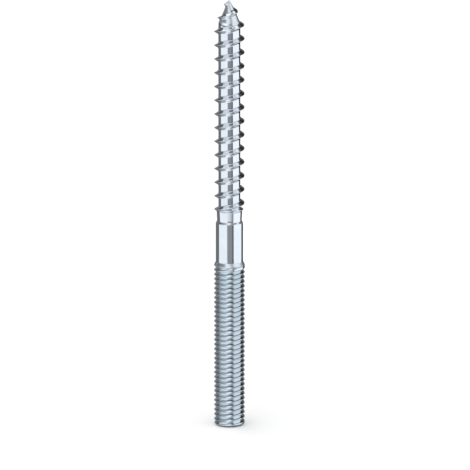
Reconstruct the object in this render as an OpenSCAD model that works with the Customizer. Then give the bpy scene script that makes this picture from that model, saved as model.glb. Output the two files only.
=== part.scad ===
// Hanger bolt: a one-piece steel stud with a metric thread at one end and a coarse
// wood thread with a gimlet point at the other. Millimetres. It stands on its flat
// machine-thread end, with the bolt's axis on Z and the point up.

/* [Overall] */
// from the flat end to the tip of the point
overall_length = 112.5; // [95:0.5:140]

/* [Machine thread] */
// outside diameter of the metric thread
machine_diameter = 8; // [7.8:0.1:10]
// distance from one crest to the next
machine_pitch = 1.25; // [1:0.05:1.5]
// from the flat end to the thread's run-out
machine_length = 43; // [30:0.5:50]
// flat end left inside its rounded edge
end_face_diameter = 7; // [6.6:0.1:7.4]

/* [Plain shank] */
// rolled blank left between the two threads
shank_diameter = 7.06; // [6.8:0.02:7.4]
// from the machine thread's run-out to the shoulder
shank_length = 11.4; // [6:0.2:20]
// neck under the shoulder, at its narrow end
neck_diameter = 6.38; // [6.2:0.02:6.5]
// from the shoulder to the wood thread's core
neck_length = 3.6; // [2.6:0.2:6]

/* [Wood thread] */
// outside diameter of the wood thread
wood_diameter = 7.86; // [7.4:0.02:8.6]
// core between the ridges
core_diameter = 5.66; // [5.2:0.02:6]
// distance from one ridge to the next
wood_pitch = 3.6; // [3.2:0.1:4.6]
// flat left on top of the ridge
wood_crest = 0.12; // [0.06:0.02:0.3]
// gimlet point, from the tip to the full core
point_length = 5.6; // [4.5:0.1:8]

/* [Drive recess] */
// across two opposite lobes, ISO 10664 number 25
recess_across_lobes = 4.5; // [4.2:0.05:4.6]
// across two opposite flanks
recess_across_flanks = 3.25; // [3.1:0.05:3.3]
// straight depth of the lobes
recess_depth = 2.8; // [1.5:0.1:4]

/* [Hidden] */
$fn = 96;

// Facets of both helices for one turn
steps = 24;
// Half of the threads' 60 degree flank angle
flank = tan(30);
// How far a cut passes the surface it starts from
clear = 0.35;

machine_r = machine_diameter / 2;
shank_r = shank_diameter / 2;
neck_r = neck_diameter / 2;
wood_r = wood_diameter / 2;
core_r = core_diameter / 2;
end_face_r = end_face_diameter / 2;

// Metric external thread: its depth and the flat of its crest, for a pitch of 1
depth_share = 0.6134;
crest_share = 1 / 8;
thread_depth = depth_share * machine_pitch;
root_r = machine_r - thread_depth;
// Half of the flat on the groove's floor
root_half = (1 - crest_share) * machine_pitch / 2 - thread_depth * flank;
// Turns that the groove takes to reach its depth
machine_fade = 0.5;
// Turn at which the groove starts, counted from the +X side
groove_turn = 0.1;

// Rounded edge of the flat end
edge_r = machine_r - end_face_r;
edge_steps = 4;
// Run-out flare from the thread down to the shank
flare_length = 0.85;
shank_from = machine_length + flare_length;
shank_to = machine_length + shank_length;
// Shoulder: a soft S from the shank down to the neck
shoulder_height = 1.1;
shoulder_steps = 6;
// Neck widens to a low collar and then falls to the core
neck_rise = 0.12;
neck_top_r = neck_r + neck_rise;
collar_rise = 0.23;
collar_r = neck_r + collar_rise;
core_from = shank_to + neck_length;
neck_fall = 0.85;
collar_fall = 0.5;

// Wood ridge: its foot lies inside the core
ridge_sink = 0.15;
// Ridge height on the point, where there is less metal to roll
point_ridge = 0.74;
tip_flat_r = 0.14;
cone_slope = (core_r - tip_flat_r) / point_length;
// Turn of the ridge at which it meets the +X side, counted from the tip
ridge_turn = 1.75;
// The last turn lies level, this far under the start of the core
level_drop = 0.3;
// Turns from the tip down to the level turn
ridge_turns = (overall_length - core_from + level_drop) / wood_pitch;
// Turns over which the ridge grows from the tip and sinks into the neck
tip_from = 0.1;
tip_fade = 0.2;
neck_fade = 0.45;
// The level turn ends before it meets the turn above it
strand_gap = 0.1;
ridge_wide = wood_crest / 2 + (wood_r - core_r + ridge_sink) * flank;
level_wide = wood_crest / 2 + (collar_r - core_r) * flank;
level_turns = 1 - (ridge_wide + level_wide + strand_gap) / wood_pitch;
ridge_steps = floor((ridge_turns + level_turns - tip_from) * steps);

// Six-lobe recess: radius of a lobe for a width of 1, and the punch's cone for a radius of 1
lobe_share = 1 / 12;
punch_cone = 0.5;
lobe_steps = 4;

groove_turns = (machine_length + machine_pitch) / machine_pitch;
groove_steps = ceil(groove_turns * steps);

// Core radius at a height on the point
function cone_r(z) = min(core_r, tip_flat_r + (overall_length - z) * cone_slope);

// One corner of a section, turned about the axis
function on_helix(r, turn, z) = [r * cos(360 * turn), r * sin(360 * turn), z];

// Share of the way from a to b, held between 0 and 1
function share(x, a, b) = min(1, max(0, (x - a) / (b - a)));

// Crest radius of the wood ridge, so many turns from the tip
function ridge_r(turns, z) =
    let (full = min(wood_r, tip_flat_r + (overall_length - z) * cone_slope + point_ridge),
         grown = cone_r(z) - ridge_sink / 2
             + (full - cone_r(z) + ridge_sink / 2) * share(turns, tip_from, tip_from + tip_fade),
         sunk = share(turns, ridge_turns - neck_fade, ridge_turns + level_turns))
    grown + (collar_r - ridge_sink - grown) * sunk * sunk;

// Four corners of the wood ridge's section
function ridge_section(turns) =
    let (z = overall_length - min(turns, ridge_turns) * wood_pitch,
         turn = ridge_turn - turns,
         foot = max(tip_flat_r / 2, cone_r(z) - ridge_sink),
         crest = max(ridge_r(turns, z), foot + tip_flat_r / 2),
         half = wood_crest / 2,
         wide = half + (crest - foot) * flank)
    [on_helix(foot, turn, z - wide), on_helix(crest, turn, z - half),
     on_helix(crest, turn, z + half), on_helix(foot, turn, z + wide)];

// Four corners of the machine thread's groove, so many turns below its start
function groove_section(turns) =
    let (z = machine_length - turns * machine_pitch,
         lift = (thread_depth + clear / 2) * (1 - share(turns, 0, machine_fade)),
         floor_r = root_r + lift,
         turn = groove_turn - turns,
         mouth_r = machine_r + clear,
         wide = root_half + (mouth_r - floor_r) * flank)
    [on_helix(floor_r, turn, z - root_half), on_helix(mouth_r, turn, z - wide),
     on_helix(mouth_r, turn, z + wide), on_helix(floor_r, turn, z + root_half)];

// A closed bar through a list of four-cornered sections
module helical_bar(sections) {
    corners = len(sections[0]);
    last = len(sections) - 1;
    points = [for (section = sections) for (corner = section) corner];
    sides = [for (i = [0:last - 1]) for (k = [0:corners - 1])
        let (here = i * corners, next = here + corners, n = (k + 1) % corners)
        each [[here + k, next + k, next + n], [here + k, next + n, here + n]]];
    first_cap = [for (k = [0:corners - 1]) k];
    last_cap = [for (k = [corners - 1:-1:0]) last * corners + k];
    polyhedron(points, concat([first_cap, last_cap], sides), convexity = 10);
}

// Rounded edge of the flat end, from the face to the side
function end_edge() =
    [for (i = [0:edge_steps])
        let (angle = 90 * i / edge_steps)
        [end_face_r + edge_r * sin(angle), edge_r * (1 - cos(angle))]];

// Soft S of the shoulder, from the shank up to the neck
function shoulder() =
    [for (i = [0:shoulder_steps])
        let (way = i / shoulder_steps, drop = (1 - cos(180 * way)) / 2)
        [shank_r + (neck_r - shank_r) * drop, shank_to + (way - 0.5) * shoulder_height]];

// Half section of the blank: everything but the two helices and the recess
module blank() {
    rotate_extrude()
        polygon(concat(
            [[0, 0]], end_edge(),
            [[machine_r, machine_length], [shank_r, shank_from]],
            shoulder(),
            [[neck_top_r, core_from - neck_fall], [collar_r, core_from - collar_fall],
             [core_r, core_from], [core_r, overall_length - point_length],
             [tip_flat_r, overall_length], [0, overall_length]]));
}

// Groove of the metric thread, from its run-out to past the flat end
module machine_groove() {
    helical_bar([for (i = [0:groove_steps]) groove_section(i / steps)]);
}

// Ridge of the wood thread, from the tip to its run-out on the neck
module wood_ridge() {
    helical_bar([for (i = [0:ridge_steps]) ridge_section(tip_from + i / steps)]);
}

// Six-lobe outline: small outer arcs that meet larger inner arcs without a corner
module lobed_outline() {
    lobe_r = recess_across_lobes * lobe_share;
    lobe_at = recess_across_lobes / 2 - lobe_r;
    inner = recess_across_flanks / 2;
    flank_r = (lobe_r * lobe_r - lobe_at * lobe_at - inner * inner + sqrt(3) * lobe_at * inner)
        / (2 * inner - sqrt(3) * lobe_at - 2 * lobe_r);
    flank_at = inner + flank_r;
    meet = atan2(flank_at * sin(30), flank_at * cos(30) - lobe_at);
    polygon([for (lobe = [0:5])
        each concat(
            [for (i = [0:lobe_steps])
                let (angle = -meet + 2 * meet * i / lobe_steps)
                lobe_at * [cos(60 * lobe), sin(60 * lobe)]
                    + lobe_r * [cos(60 * lobe + angle), sin(60 * lobe + angle)]],
            [for (i = [1:lobe_steps - 1])
                let (swing = meet - 30, angle = 210 + swing - 2 * swing * i / lobe_steps)
                flank_at * [cos(60 * lobe + 30), sin(60 * lobe + 30)]
                    + flank_r * [cos(60 * lobe + angle), sin(60 * lobe + angle)]])]);
}

// Blind recess in the flat end, with the cone that its punch leaves
module drive_recess() {
    translate([0, 0, -clear])
        linear_extrude(height = recess_depth + clear)
            lobed_outline();
    punch_r = (recess_across_flanks - clear) / 2;
    translate([0, 0, recess_depth - clear / 2])
        cylinder(h = punch_cone * punch_r + clear / 2, r1 = punch_r, r2 = 0);
}

module hanger_bolt() {
    color([0.78, 0.80, 0.84])
        difference() {
            union() {
                blank();
                wood_ridge();
            }
            machine_groove();
            drive_recess();
        }
}

hanger_bolt();
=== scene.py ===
# %% [markdown]
# # A hanger bolt
# A hanger bolt is a stud with two different ends. One end has a metric thread for a nut, the
# other a coarse thread that cuts its own way into wood, and a plain shank lies between them.
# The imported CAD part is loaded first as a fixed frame, so that everything made here has its
# size and its place.

# %% Load the frame
from math import atan2, cos, pi, radians, sin, sqrt, tan, tau

import bmesh
import bpy
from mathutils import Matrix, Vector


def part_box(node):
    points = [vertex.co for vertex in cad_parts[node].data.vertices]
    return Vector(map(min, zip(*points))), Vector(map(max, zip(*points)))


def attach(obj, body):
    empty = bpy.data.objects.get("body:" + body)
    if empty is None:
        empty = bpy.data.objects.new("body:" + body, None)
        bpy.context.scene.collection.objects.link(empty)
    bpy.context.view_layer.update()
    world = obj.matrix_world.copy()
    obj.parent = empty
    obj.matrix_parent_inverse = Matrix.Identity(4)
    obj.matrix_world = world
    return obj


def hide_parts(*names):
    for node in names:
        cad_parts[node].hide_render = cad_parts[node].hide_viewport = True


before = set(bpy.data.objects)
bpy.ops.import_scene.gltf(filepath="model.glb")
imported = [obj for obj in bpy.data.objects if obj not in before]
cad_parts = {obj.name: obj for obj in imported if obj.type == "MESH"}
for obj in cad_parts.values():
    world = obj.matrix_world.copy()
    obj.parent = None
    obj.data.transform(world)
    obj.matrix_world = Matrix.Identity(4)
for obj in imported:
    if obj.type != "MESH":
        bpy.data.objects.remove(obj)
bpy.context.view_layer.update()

# %% [markdown]
# The bolt is small, so its sizes are easiest to read in millimetres. The mesh is built in
# millimetres and scaled once at the end. The overall length and the outside of the metric
# thread come from the frame. The rest are the sizes of a common 8 mm hanger bolt.

# %% Sizes in millimetres
MM = 0.001
node_low, node_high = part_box("hanger_bolt")
overall_length = (node_high[2] - node_low[2]) / MM

machine_r = (node_high[0] - node_low[0]) / 2 / MM
machine_pitch = 1.25
machine_length = 43.0
end_face_r = 3.3
flare_length = 0.85

shank_r = 3.53
shank_length = 11.4
shank_to = machine_length + shank_length
shoulder_height = 0.7
shoulder_top = shank_to + shoulder_height / 2

neck_r = 3.19
neck_rise = 0.12
neck_top_r = neck_r + neck_rise
neck_length = 3.6
core_from = shank_to + neck_length
neck_fall = 0.85
swell_from = core_from - neck_fall
collar_rise = 0.23
collar_r = neck_r + collar_rise
collar_fall = 0.5
collar_top = core_from - collar_fall

wood_r = 3.93
core_r = 2.83
wood_pitch = 3.6
wood_crest = 0.12
point_length = 5.8
# Each side of a ridge leans by half of the threads' 60 degrees.
FLANK_DEGREES = 30
flank = tan(radians(FLANK_DEGREES))
print(f"bolt of {overall_length:.1f} mm, metric thread of {2 * machine_r:.2f} mm")

# %% [markdown]
# A thread is one short outline swept along a helix. The outline is a formula here, so that the
# same formula can also let the thread grow out of the point and die away on the neck. Rolled
# threads have no knife edges: two lines meet in a small curve, which soft_max and soft_min
# give.

# %% Helpers for rounded outlines
def share(value, start, end):
    """How far value is on the way from start to end, held between 0 and 1."""
    return min(1.0, max(0.0, (value - start) / (end - start)))


def soft_max(a, b, blend):
    """The larger of two numbers, with a curve as wide as blend where they meet."""
    return (a + b + sqrt((a - b) ** 2 + blend ** 2)) / 2


def soft_min(a, b, blend):
    """The smaller of two numbers, with a curve as wide as blend where they meet."""
    return (a + b - sqrt((a - b) ** 2 + blend ** 2)) / 2


def both_sides(offsets):
    """Offsets from the middle outwards, as one list from the upper edge to the lower edge."""
    return offsets[:0:-1] + [0.0] + [-offset for offset in offsets[1:]]


# %% [markdown]
# bmesh.ops.spin turns a chain of edges about an axis and can lift it a little at each step, and
# that is one turn of a helix. The other turns are copies of it, each one pitch higher. Each
# vertex keeps its place across the thread in a layer of the mesh, because the formula needs to
# know later how far it lies from the middle of the ridge. The lift keeps the spin from closing on
# itself, so it needs no use_merge. One turn ends where the next begins, and those doubles are
# merged.

# %% Sweep a chain along a helix
TURN_MERGE = 0.004
CUT_MERGE = 1e-5


def swept_helix(offsets, pitch, start_z, turns, steps):
    """A skin of so many turns, one pitch wide, and the layer with each vertex's offset."""
    bm = bmesh.new()
    across = bm.verts.layers.float.new("across")
    chain = []
    for offset in offsets:
        vert = bm.verts.new((machine_r, 0.0, start_z + offset))
        vert[across] = offset
        chain.append(vert)
    links = [bm.edges.new(pair) for pair in zip(chain, chain[1:])]
    bmesh.ops.spin(
        bm, geom=chain + links, cent=(0, 0, 0), axis=(0, 0, 1),
        dvec=(0, 0, pitch / steps), angle=tau, steps=steps,
    )
    one_turn = bm.verts[:] + bm.edges[:] + bm.faces[:]
    for turn in range(1, turns):
        copied = bmesh.ops.duplicate(bm, geom=one_turn)["geom"]
        verts = [part for part in copied if isinstance(part, bmesh.types.BMVert)]
        bmesh.ops.translate(bm, verts=verts, vec=(0, 0, pitch * turn))
    bmesh.ops.remove_doubles(bm, verts=bm.verts, dist=TURN_MERGE)
    return bm, across


def set_radius(vert, radius):
    """Moves a vertex straight towards or away from the bolt's axis."""
    turn = atan2(vert.co.y, vert.co.x)
    vert.co.x = radius * cos(turn)
    vert.co.y = radius * sin(turn)


def cut_level(bm, height, keep_above):
    """Cuts the mesh at a height, drops one side and gives the edges of the cut."""
    cut = bmesh.ops.bisect_plane(
        bm, geom=bm.verts[:] + bm.edges[:] + bm.faces[:], dist=CUT_MERGE,
        plane_co=(0, 0, height), plane_no=(0, 0, 1),
        clear_inner=keep_above, clear_outer=not keep_above,
    )
    return [part for part in cut["geom_cut"] if isinstance(part, bmesh.types.BMEdge)]


# %% [markdown]
# The wood thread is a sharp ridge on a thinner core. At the top the core runs out in a cone, the
# gimlet point, and the ridge goes with it to the tip, a little lower there. At the bottom the
# last turn stops climbing, lies level on the neck and sinks into it. core_radius gives the metal
# without the ridge, and ridge_rise the height of the ridge on it.

# %% Formulas of the wood thread
tip_r = 0.14
cone_slope = (core_r - tip_r) / point_length
CONE_BLEND = 0.12
point_ridge = 0.78
# Turn at which the ridge meets the +X side, counted from the tip
ridge_turn = 1.75
# The level turn lies this far under the start of the core
level_drop = 0.3
ridge_turns = (overall_length - core_from + level_drop) / wood_pitch
# Turns over which the ridge grows at the tip, and over which it sinks into the neck
tip_from, tip_full = 0.08, 0.28
neck_fade, level_turns = 0.45, 0.95
RIDGE_SINK = 0.15
# Curves of the ridge at its crest and at its foot, and the turns over which a wider foot ends
CREST_BLEND = 0.05
FOOT_BLEND = 0.12
POINT_FOOT = 0.45
foot_from, foot_to = 0.75, 1.2


def core_radius(z):
    """Radius of the core or of the point at a height."""
    cone = tip_r + (overall_length - z) * cone_slope
    return max(tip_r / 2, soft_min(core_r, cone, CONE_BLEND))


def ridge_rise(turns):
    """Height of the ridge over the core, so many turns from the tip."""
    z = overall_length - min(turns, ridge_turns) * wood_pitch
    reach = min(wood_r, tip_r + (overall_length - z) * cone_slope + point_ridge)
    grown = (reach - core_radius(z)) * share(turns, tip_from, tip_full)
    sunk = share(turns, ridge_turns - neck_fade, ridge_turns + level_turns) ** 2
    return grown + (collar_r - RIDGE_SINK - core_r - grown) * sunk


def ridge_height(offset, rise, turns):
    """Height of the ridge at an offset from its middle, with a wide foot on the point."""
    side = rise - (abs(offset) - wood_crest / 2) / flank
    foot = FOOT_BLEND + POINT_FOOT * (1 - share(turns, foot_from, foot_to))
    return soft_min(soft_max(side, 0.0, foot), rise, CREST_BLEND)


print(f"wood thread of {ridge_turns:.2f} turns")

# %% [markdown]
# The chain has more points near the crest and near the foot of the ridge, where the outline
# bends, and few on the straight flanks. The sweep starts below the neck and ends above the tip,
# and both ragged ends are then cut off level.

# %% Wood thread
WOOD_STEPS = 80
WOOD_TURNS = 17
TURNS_TO_NECK = 14
CUT_ABOVE_NECK = 0.6
wood_offsets = [
    0.0, 0.035, 0.07, 0.12, 0.22, 0.34, 0.44, 0.52, 0.59, 0.66, 0.73, 0.82, 1.0, 1.35,
    wood_pitch / 2,
]
wood_start = ridge_turn + TURNS_TO_NECK
bolt, across = swept_helix(
    both_sides(wood_offsets), wood_pitch, overall_length - wood_start * wood_pitch,
    WOOD_TURNS, WOOD_STEPS,
)
for vert in bolt.verts:
    turns = (overall_length - vert.co.z + vert[across]) / wood_pitch
    rise = max(0.0, ridge_rise(turns))
    radius = core_radius(vert.co.z) + ridge_height(vert[across], rise, turns)
    set_radius(vert, radius)
tip_edges = cut_level(bolt, overall_length, keep_above=False)
bmesh.ops.holes_fill(bolt, edges=tip_edges)
neck_cut = core_from + CUT_ABOVE_NECK
ring = cut_level(bolt, neck_cut, keep_above=True)
print("wood thread:", len(bolt.faces), "faces, cut ring of", len(ring), "edges")

# %% [markdown]
# From the cut the bolt goes on as a stack of rings. extrude_edge_only copies the open ring, and
# each copy is moved to its height and radius. The rings lie close together where the last turn
# lies on the neck and a fine groove runs under the collar, and far apart on the plain shank.

# %% Neck, shoulder and shank
COLLAR_BLEND = 0.08
NECK_BLEND = 0.06
STRAND_BLEND = 0.06
NOTCH_DEPTH = 0.22
NOTCH_HALF = 0.17
NOTCH_DROP = 0.58
notch_z = core_from - NOTCH_DROP


def strand_radius(turns, z, crest_z):
    """Radius of one strand of the ridge at a height, or 0 where it has ended."""
    if turns > ridge_turns + level_turns:
        return 0.0
    rise = ridge_rise(turns)
    return core_r + rise - max(0.0, abs(z - crest_z) - wood_crest / 2) / flank


def between(z, low, low_value, high, high_value):
    """A value that runs straight from one height to another."""
    return low_value + (high_value - low_value) * share(z, low, high)


def neck_radius(turn, z):
    """Radius round the neck and its collar, with the last strands of the ridge."""
    neck = between(z, shoulder_top, neck_r, swell_from, neck_top_r)
    swell = between(z, swell_from, neck_top_r, collar_top, collar_r)
    fall = between(z, collar_top, collar_r, core_from, core_r)
    rising = neck if z < swell_from else swell
    body = soft_min(rising, soft_max(fall, core_r, COLLAR_BLEND), NECK_BLEND)
    body -= NOTCH_DEPTH * (1 - share(abs(z - notch_z), 0.0, NOTCH_HALF))
    level = ridge_turns + (ridge_turn - turn - ridge_turns) % 1.0
    level_z = overall_length - ridge_turns * wood_pitch
    climbing_z = overall_length - (level - 1) * wood_pitch
    strands = max(strand_radius(level, z, level_z), strand_radius(level - 1, z, climbing_z))
    return soft_max(body, strands, STRAND_BLEND)


def shoulder_radius(z):
    """Radius across the soft S of the shoulder, between the neck and the shank."""
    swing = 2 * share(z, shoulder_top - shoulder_height, shoulder_top) - 1
    return (shank_r + neck_r) / 2 - (shank_r - neck_r) / 2 * sin(swing * pi / 2)


def next_ring(edges, height, radius_at):
    """Copies an open ring to a height and gives the edges of the copy."""
    grown = bmesh.ops.extrude_edge_only(bolt, edges=edges)["geom"]
    for part in grown:
        if isinstance(part, bmesh.types.BMVert):
            part.co.z = height
            set_radius(part, radius_at(atan2(part.co.y, part.co.x) / tau, height))
    return [part for part in grown if isinstance(part, bmesh.types.BMEdge) and part.is_boundary]


NECK_RINGS = 56
PLAIN_NECK_RINGS = 5
SHOULDER_RINGS = 16
CLOSE_RINGS_PAST = 0.3
CUT_PAST_FLARE = 0.5
BRIDGE_GAP = 0.8
RING_UNDER_SHOULDER = 1.2
neck_low = swell_from - CLOSE_RINGS_PAST
for step in range(1, NECK_RINGS + 1):
    height = neck_cut + (neck_low - neck_cut) * step / NECK_RINGS
    ring = next_ring(ring, height, neck_radius)
for step in range(1, PLAIN_NECK_RINGS):
    height = neck_low + (shoulder_top - neck_low) * step / PLAIN_NECK_RINGS
    ring = next_ring(ring, height, neck_radius)
for step in range(SHOULDER_RINGS + 1):
    height = shoulder_top - shoulder_height * step / SHOULDER_RINGS
    ring = next_ring(ring, height, lambda turn, z: shoulder_radius(z))
machine_cut = machine_length + flare_length + CUT_PAST_FLARE
shank_end = machine_cut + BRIDGE_GAP
for height in (shank_to - RING_UNDER_SHOULDER, (shank_to + machine_cut) / 2, shank_end):
    ring = next_ring(ring, height, lambda turn, z: shank_r)
print("neck and shank:", len(bolt.faces), "faces so far")

# %% [markdown]
# The metric thread is swept the same way, but its chain is centred on the groove. Rolling starts
# the groove at the run-out with no depth and takes half a turn to reach its floor. Zinc fills the
# floor and softens the crests, so both are rounded well. The flat end has a chamfer that leads a
# nut on, and the groove fades out before it.

# %% Machine thread
thread_depth = 0.90
crest_flat = 0.22
ROOT_ROUNDING = 0.50
CREST_ROUNDING = 0.40
groove_turn = 0.1
root_half = (machine_pitch - crest_flat) / 2 - thread_depth * flank
run_out_turns = 0.5
RUN_OUT_LIFT = 0.175
FLARE_BLEND = 0.05
# Chamfer of the flat end, and the heights between which the groove fades over it
END_HEIGHT = 0.6
END_ROUNDING = 0.06
fade_from, fade_to = 0.45, 1.15


def groove_depth(offset, floor_depth):
    """Depth of the rounded groove at an offset from its middle."""
    side = floor_depth - (abs(offset) - root_half) / flank
    return soft_max(soft_min(side, floor_depth, ROOT_ROUNDING), 0.0, CREST_ROUNDING)


# Rounding alone would lower the crest as well, so that much is taken off the depth everywhere.
crest_drop = groove_depth(machine_pitch / 2, thread_depth)


def machine_radius(z, offset, turns):
    """Radius of the metric thread at a height, an offset across the groove and a turn."""
    lift = (thread_depth + RUN_OUT_LIFT) * (1 - share(turns, 0.0, run_out_turns))
    groove = max(0.0, groove_depth(offset, thread_depth - lift) - crest_drop)
    groove *= share(z, fade_from, fade_to)
    drop = (z - machine_length) / flare_length * (machine_r - shank_r)
    body = min(machine_r, soft_max(machine_r - drop, shank_r, FLARE_BLEND))
    end = end_face_r + max(0.0, z) / END_HEIGHT * (machine_r - end_face_r)
    return soft_min(body - groove, end, END_ROUNDING)


MACHINE_STEPS = 56
HALF_CHAIN = 11
TURNS_PAST_END = 2
TURNS_PAST_RUN_OUT = 3
machine_offsets = [machine_pitch / 2 * point / HALF_CHAIN for point in range(HALF_CHAIN + 1)]
machine_start = round(machine_length / machine_pitch) + TURNS_PAST_END
stud, stud_across = swept_helix(
    both_sides(machine_offsets), machine_pitch,
    machine_length - (machine_start + groove_turn) * machine_pitch,
    machine_start + TURNS_PAST_RUN_OUT, MACHINE_STEPS,
)
for vert in stud.verts:
    turns = (machine_length - vert.co.z + vert[stud_across]) / machine_pitch
    set_radius(vert, machine_radius(vert.co.z, vert[stud_across], turns))
cut_level(stud, machine_cut, keep_above=False)
cut_level(stud, 0.0, keep_above=True)
print("machine thread:", len(stud.faces), "faces")

# %% [markdown]
# The two halves become one mesh through a scratch mesh that the first one reads in. Bridging the
# open ring of the shank to the open ring of the machine thread closes the outside. The rings may
# have different numbers of points, and the bridge then fills in with triangles.

# %% Join the halves
LEVEL_TOLERANCE = 0.01

scratch = bpy.data.meshes.new("machine_thread_scratch")
stud.to_mesh(scratch)
stud.free()
bolt.from_mesh(scratch)
bpy.data.meshes.remove(scratch)


def open_edges(height):
    """Edges of the open ring at a height."""
    return [
        edge for edge in bolt.edges
        if edge.is_boundary
        and all(abs(vert.co.z - height) < LEVEL_TOLERANCE for vert in edge.verts)
    ]


bmesh.ops.bridge_loops(bolt, edges=open_edges(machine_cut) + open_edges(shank_end))
print("open edges after the bridge:", sum(edge.is_boundary for edge in bolt.edges))

# %% [markdown]
# A punch leaves a six-lobe recess in the flat end, so that a driver bit can turn a bolt that has
# no head. The outline is six small outward arcs that run into six larger inward arcs. A circle is
# moved to that outline, and triangle_fill closes the flat ring between it and the open edge of
# the bolt. Then the outline is extruded into the metal, and its floor is the shallow cone of the
# punch.

# %% Six-lobe recess
across_lobes, across_flanks, recess_depth = 4.5, 3.25, 2.8
# A lobe's radius is this part of the width across the lobes.
LOBE_PART = 12
lobe_r = across_lobes / LOBE_PART
lobe_at = across_lobes / 2 - lobe_r
inner_r = across_flanks / 2
flank_r = (lobe_r ** 2 - lobe_at ** 2 - inner_r ** 2 + sqrt(3) * lobe_at * inner_r) / (
    2 * inner_r - sqrt(3) * lobe_at - 2 * lobe_r)
flank_at = inner_r + flank_r
meet = atan2(flank_at / 2, flank_at * sqrt(3) / 2 - lobe_at)
meet_turn = atan2(lobe_r * sin(meet), lobe_at + lobe_r * cos(meet))


def lobed_radius(turn):
    """Radius of the six-lobe outline in a direction, given in radians."""
    beside = abs((turn + pi / 6) % (pi / 3) - pi / 6)
    if beside <= meet_turn:
        return lobe_at * cos(beside) + sqrt(lobe_r ** 2 - (lobe_at * sin(beside)) ** 2)
    away = pi / 6 - beside
    return flank_at * cos(away) - sqrt(flank_r ** 2 - (flank_at * sin(away)) ** 2)


RECESS_POINTS = 144
MOUTH_BEVEL = 0.09
FLOOR_INSET = 0.1
FLOOR_RISE = 0.06
PUNCH_CONE = 0.7
APEX_R = 0.01
mouth = bmesh.ops.create_circle(bolt, segments=RECESS_POINTS, radius=1.0)["verts"]
for vert in mouth:
    set_radius(vert, lobed_radius(atan2(vert.co.y, vert.co.x)) + MOUTH_BEVEL)
# dict.fromkeys drops doubles and, unlike a set, keeps the order.
mouth_edges = list(dict.fromkeys(edge for vert in mouth for edge in vert.link_edges))
bmesh.ops.triangle_fill(
    bolt, edges=open_edges(0.0) + mouth_edges, use_beauty=True, normal=(0, 0, -1),
)
wall = next_ring(mouth_edges, MOUTH_BEVEL, lambda turn, z: lobed_radius(turn * tau))
wall = next_ring(wall, recess_depth, lambda turn, z: lobed_radius(turn * tau))
floor_ring = next_ring(wall, recess_depth + FLOOR_RISE, lambda turn, z: inner_r - FLOOR_INSET)
apex = next_ring(floor_ring, recess_depth + PUNCH_CONE, lambda turn, z: APEX_R)
apex_verts = list(dict.fromkeys(vert for edge in apex for vert in edge.verts))
bmesh.ops.pointmerge(bolt, verts=apex_verts, merge_co=(0, 0, recess_depth + PUNCH_CONE))
print("open edges at the end:", sum(edge.is_boundary for edge in bolt.edges))

# %% [markdown]
# The closed mesh gets its normals turned outwards and is scaled to metres. Its faces are smooth,
# and only edges that bend by more than a set angle stay sharp, such as the rim of the flat end and
# the mouth of the recess.

# %% Finished bolt
FINAL_MERGE = 0.002
SHARP_DEGREES = 38

bmesh.ops.remove_doubles(bolt, verts=bolt.verts, dist=FINAL_MERGE)
bmesh.ops.recalc_face_normals(bolt, faces=bolt.faces)
bmesh.ops.scale(bolt, vec=(MM, MM, MM), verts=bolt.verts)
for face in bolt.faces:
    face.smooth = True
volume_mm3 = bolt.calc_volume(signed=True) / MM ** 3
bolt_mesh = bpy.data.meshes.new("hanger_bolt_skin")
bolt.to_mesh(bolt_mesh)
bolt.free()
bolt_mesh.set_sharp_from_angle(angle=radians(SHARP_DEGREES))
bolt_piece = bpy.data.objects.new("zinc_hanger_bolt", bolt_mesh)
bpy.context.scene.collection.objects.link(bolt_piece)
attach(bolt_piece, "root")
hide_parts("hanger_bolt")
triangles = sum(len(polygon.vertices) - 2 for polygon in bolt_mesh.polygons)
print(f"bolt: {triangles} triangles, {volume_mm3:.0f} cubic millimetres")

# %% [markdown]
# Bright zinc plating is a thin bluish metal layer. It mirrors the room, a little blurred, with
# faint clouds where the bath left it duller, and a fine grain that only shows close up. One
# Principled shader gives that: fully metallic, with noise on its roughness and a small bump. The
# metric thread comes out a little bluer than the rest, so a pale blue is multiplied in below its
# run-out.

# %% Zinc plating
BLUE_EDGE = 1.0


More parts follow.
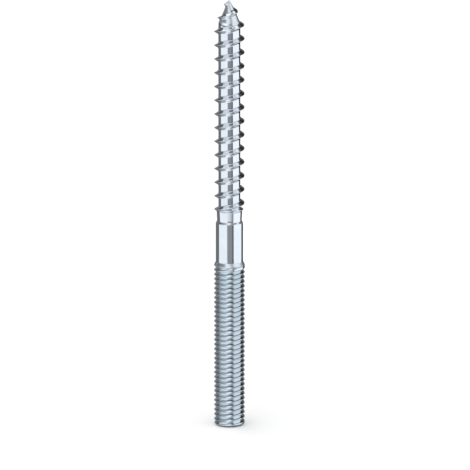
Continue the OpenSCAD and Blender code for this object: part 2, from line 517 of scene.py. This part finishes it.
def zinc_plating():
    """The finish of the whole bolt."""
    material = bpy.data.materials.new("bright_zinc")
    material.use_nodes = True
    nodes, links = material.node_tree.nodes, material.node_tree.links
    shader = nodes["Principled BSDF"]
    shader.inputs["Metallic"].default_value = 1.0
    place = nodes.new("ShaderNodeTexCoord")

    clouds = nodes.new("ShaderNodeTexNoise")
    clouds.inputs["Scale"].default_value = 220.0
    clouds.inputs["Detail"].default_value = 5.0
    links.new(place.outputs["Object"], clouds.inputs["Vector"])

    tint = nodes.new("ShaderNodeValToRGB")
    tint.color_ramp.elements[0].position = 0.3
    tint.color_ramp.elements[0].color = (0.80, 0.835, 0.87, 1)
    tint.color_ramp.elements[1].position = 0.7
    tint.color_ramp.elements[1].color = (0.88, 0.905, 0.93, 1)
    links.new(clouds.outputs["Fac"], tint.inputs["Fac"])

    parts = nodes.new("ShaderNodeSeparateXYZ")
    links.new(place.outputs["Object"], parts.inputs["Vector"])
    on_thread = nodes.new("ShaderNodeMapRange")
    on_thread.inputs["From Min"].default_value = (machine_length + BLUE_EDGE) * MM
    on_thread.inputs["From Max"].default_value = (machine_length - BLUE_EDGE) * MM
    links.new(parts.outputs["Z"], on_thread.inputs["Value"])
    blue = nodes.new("ShaderNodeMix")
    blue.data_type = "RGBA"
    blue.blend_type = "MULTIPLY"
    blue.inputs["B"].default_value = (0.95, 0.99, 1.0, 1)
    links.new(on_thread.outputs["Result"], blue.inputs["Factor"])
    links.new(tint.outputs["Color"], blue.inputs["A"])
    links.new(blue.outputs["Result"], shader.inputs["Base Color"])

    blur = nodes.new("ShaderNodeMapRange")
    blur.inputs["From Min"].default_value = 0.3
    blur.inputs["From Max"].default_value = 0.7
    blur.inputs["To Min"].default_value = 0.03
    blur.inputs["To Max"].default_value = 0.06
    links.new(clouds.outputs["Fac"], blur.inputs["Value"])
    links.new(blur.outputs["Result"], shader.inputs["Roughness"])

    grain = nodes.new("ShaderNodeTexNoise")
    grain.inputs["Scale"].default_value = 4000.0
    grain.inputs["Detail"].default_value = 3.0
    links.new(place.outputs["Object"], grain.inputs["Vector"])
    bump = nodes.new("ShaderNodeBump")
    bump.inputs["Strength"].default_value = 0.06
    bump.inputs["Distance"].default_value = 0.00004
    links.new(grain.outputs["Fac"], bump.inputs["Height"])
    links.new(bump.outputs["Normal"], shader.inputs["Normal"])
    return material


bolt_mesh.materials.append(zinc_plating())
print("finish:", bolt_mesh.materials[0].name)

# %% [markdown]
# The bolt stands on a plain pale floor. Metal shows what is around it, so the floor is kept out
# of its reflections, and the light around it is a studio: a wide soft box on the left, another
# on the right, a grey gap between them where the camera is, and a darker room behind. The light
# is painted on the world by direction, in nine rings, one above the other, because the flanks of
# a thread mirror other heights than the shank does. A wide sun gives the floor its soft shadow.

# %% Floor and studio
FLOOR_SIDE = 40.0
floor_bm = bmesh.new()
bmesh.ops.create_grid(floor_bm, x_segments=1, y_segments=1, size=FLOOR_SIDE / 2)
floor_mesh = bpy.data.meshes.new("studio_floor")
floor_bm.to_mesh(floor_mesh)
floor_bm.free()
floor = bpy.data.objects.new("studio_floor", floor_mesh)
bpy.context.scene.collection.objects.link(floor)
floor.visible_glossy = False
floor_paint = bpy.data.materials.new("pale_floor")
floor_paint.use_nodes = True
floor_shader = floor_paint.node_tree.nodes["Principled BSDF"]
floor_shader.inputs["Base Color"].default_value = (0.9, 0.9, 0.9, 1)
floor_shader.inputs["Roughness"].default_value = 0.9
floor_mesh.materials.append(floor_paint)

# Each ring of light is a list of (degrees to the right of the camera's side, brightness).
RINGS = {
    "top": [
        (-180, 0.2), (-165, 0.5), (-150, 1.15), (-104, 1.1), (-86, 0.1), (-46, 0.1), (-10, 0.85),
        (8, 0.9), (26, 0.1), (48, 0.05), (80, 0.3), (105, 0.5), (128, 1.15), (150, 1.15),
        (168, 0.5), (180, 0.2),
    ],
    "high": [
        (-180, 1.2), (-124, 1.2), (-110, 0.1), (-90, 0.3), (-45, 0.48), (-18, 0.92), (8, 0.9),
        (22, 0.5), (32, 0.25), (50, 0.2), (70, 0.06), (180, 0.1),
    ],
    "upper": [
        (-180, 0.1), (-112, 0.1), (-92, 0.22), (-60, 0.3), (-44, 0.45), (-32, 0.85), (-18, 0.95),
        (6, 0.7), (18, 0.5), (30, 0.48), (42, 0.8), (60, 0.95), (95, 0.92), (106, 0.6),
        (118, 0.03), (180, 0.03),
    ],
    "eye": [
        (-180, 0.25), (-112, 0.25), (-92, 0.4), (-76, 0.82), (-45, 1.18), (-22, 1.04), (4, 0.46),
        (18, 0.27), (30, 0.45), (40, 0.92), (100, 0.87), (112, 0.65), (130, 0.2), (180, 0.1),
    ],
    "gap": [
        (-180, 0.2), (-112, 0.05), (-92, 0.15), (-76, 0.22), (-32, 0.26), (-18, 0.08), (-6, 0.0),
        (30, 0.0), (38, 0.65), (100, 0.85), (112, 0.5), (134, 0.2), (180, 0.1),
    ],
    "level": [
        (-180, 0.17), (-102, 0.17), (-95, 1.0), (-20, 1.0), (-16, 0.3), (24, 0.27), (27, 0.12),
        (36, 0.12), (40, 1.06), (120, 1.06), (125, 0.03), (180, 0.03),
    ],
    "low": [
        (-180, 0.18), (-102, 0.18), (-94, 1.02), (-24, 0.98), (-8, 0.8), (8, 0.68), (20, 0.5),
        (28, 0.3), (34, 0.3), (44, 1.06), (119, 1.06), (125, 0.03), (180, 0.03),
    ],
    "lower": [
        (-180, 0.2), (-110, 0.25), (-98, 0.9), (-80, 1.1), (-50, 0.87), (-25, 0.95), (8, 0.86),
        (32, 0.52), (44, 0.8), (66, 0.88), (82, 0.55), (110, 0.55), (134, 0.05), (180, 0.04),
    ],
    "ground": [
        (-180, 0.1), (-130, 0.25), (-100, 0.47), (-60, 0.38), (-42, 0.66), (-28, 1.12),
        (14, 1.16), (28, 0.85), (40, 0.37), (56, 0.2), (78, 0.3), (105, 0.5), (130, 0.2),
        (180, 0.1),
    ],
}
# The level ring comes first. Each ring here then takes over between two heights, in degrees over
# the horizon, and keeps what lies beyond them.
CHANGES = [
    ("gap", -5.8, -4.2), ("eye", 0, 2), ("upper", 19, 25), ("high", 43, 46), ("top", 57, 64),
    ("low", -14.4, -15.8), ("lower", -20, -24), ("ground", -31, -39),
]
TINT = (0.955, 1.0, 1.055)


def studio_world():
    """Light by direction: rings of soft boxes, one above the other."""
    world = bpy.data.worlds.new("studio")
    world.use_nodes = True
    nodes, links = world.node_tree.nodes, world.node_tree.links
    place = nodes.new("ShaderNodeTexCoord")
    parts = nodes.new("ShaderNodeSeparateXYZ")
    links.new(place.outputs["Generated"], parts.inputs["Vector"])
    front = nodes.new("ShaderNodeMath")
    front.operation = "MULTIPLY"
    front.inputs[1].default_value = -1.0
    links.new(parts.outputs["Y"], front.inputs[0])
    turn = nodes.new("ShaderNodeMath")
    turn.operation = "ARCTAN2"
    links.new(parts.outputs["X"], turn.inputs[0])
    links.new(front.outputs["Value"], turn.inputs[1])
    along = nodes.new("ShaderNodeMapRange")
    along.inputs["From Min"].default_value = -pi
    along.inputs["From Max"].default_value = pi
    links.new(turn.outputs["Value"], along.inputs["Value"])

    def tinted(brightness):
        """The studio's cool light at a brightness."""
        return (*(brightness * part for part in TINT), 1)

    def ring_colour(bands):
        """Colour of one ring in the direction that is looked up."""
        ramp = nodes.new("ShaderNodeValToRGB")
        stops = ramp.color_ramp.elements
        stops[0].color = tinted(bands[0][1])
        stops[1].color = tinted(bands[-1][1])
        for degrees, brightness in bands[1:-1]:
            stops.new((degrees + 180) / 360).color = tinted(brightness)
        links.new(along.outputs["Result"], ramp.inputs["Fac"])
        return ramp.outputs["Color"]

    def blended(first, second, start, end):
        """Goes from one colour to another between two heights in degrees."""
        height = nodes.new("ShaderNodeMapRange")
        height.inputs["From Min"].default_value = sin(radians(start))
        height.inputs["From Max"].default_value = sin(radians(end))
        links.new(parts.outputs["Z"], height.inputs["Value"])
        mix = nodes.new("ShaderNodeMix")
        mix.data_type = "RGBA"
        links.new(height.outputs["Result"], mix.inputs["Factor"])
        links.new(first, mix.inputs["A"])
        links.new(second, mix.inputs["B"])
        return mix.outputs["Result"]

    light = ring_colour(RINGS["level"])
    for ring_name, start, end in CHANGES:
        light = blended(light, ring_colour(RINGS[ring_name]), start, end)
    links.new(light, nodes["Background"].inputs["Color"])
    return world


bpy.context.scene.world = studio_world()

key = bpy.data.lights.new("floor_key", "SUN")
key.energy = 2.6
key.color = (1.0, 0.97, 0.93)
key.angle = radians(130)
key_object = bpy.data.objects.new("floor_key", key)
key_object.rotation_euler = (radians(12), radians(-20), 0)
key_object.visible_glossy = False
bpy.context.scene.collection.objects.link(key_object)
bpy.context.scene.view_settings.view_transform = "Standard"
print("studio: floor, world and one key light")

# %% [markdown]
# The photograph is taken with a long lens from a little above, so the upright edges stay nearly
# parallel and the flat end shows as a shallow curve at the floor.

# %% Camera
IMAGE_SIDE = 470
focal_pixels = 4619.0
DOWN_DEGREES = 12.378
ASIDE_DEGREES = -0.0714
camera_data = bpy.data.cameras.new("camera")
camera_data.sensor_width = 36.0
camera_data.lens = focal_pixels / IMAGE_SIDE * camera_data.sensor_width
camera_data.clip_start = 0.01
camera = bpy.data.objects.new("camera", camera_data)
camera.location = (0.0, -1.172, 0.308)
camera.rotation_euler = (radians(90 - DOWN_DEGREES), 0, radians(ASIDE_DEGREES))
bpy.context.scene.collection.objects.link(camera)
bpy.context.scene.camera = camera
print("camera: lens of", round(camera_data.lens, 1), "mm")
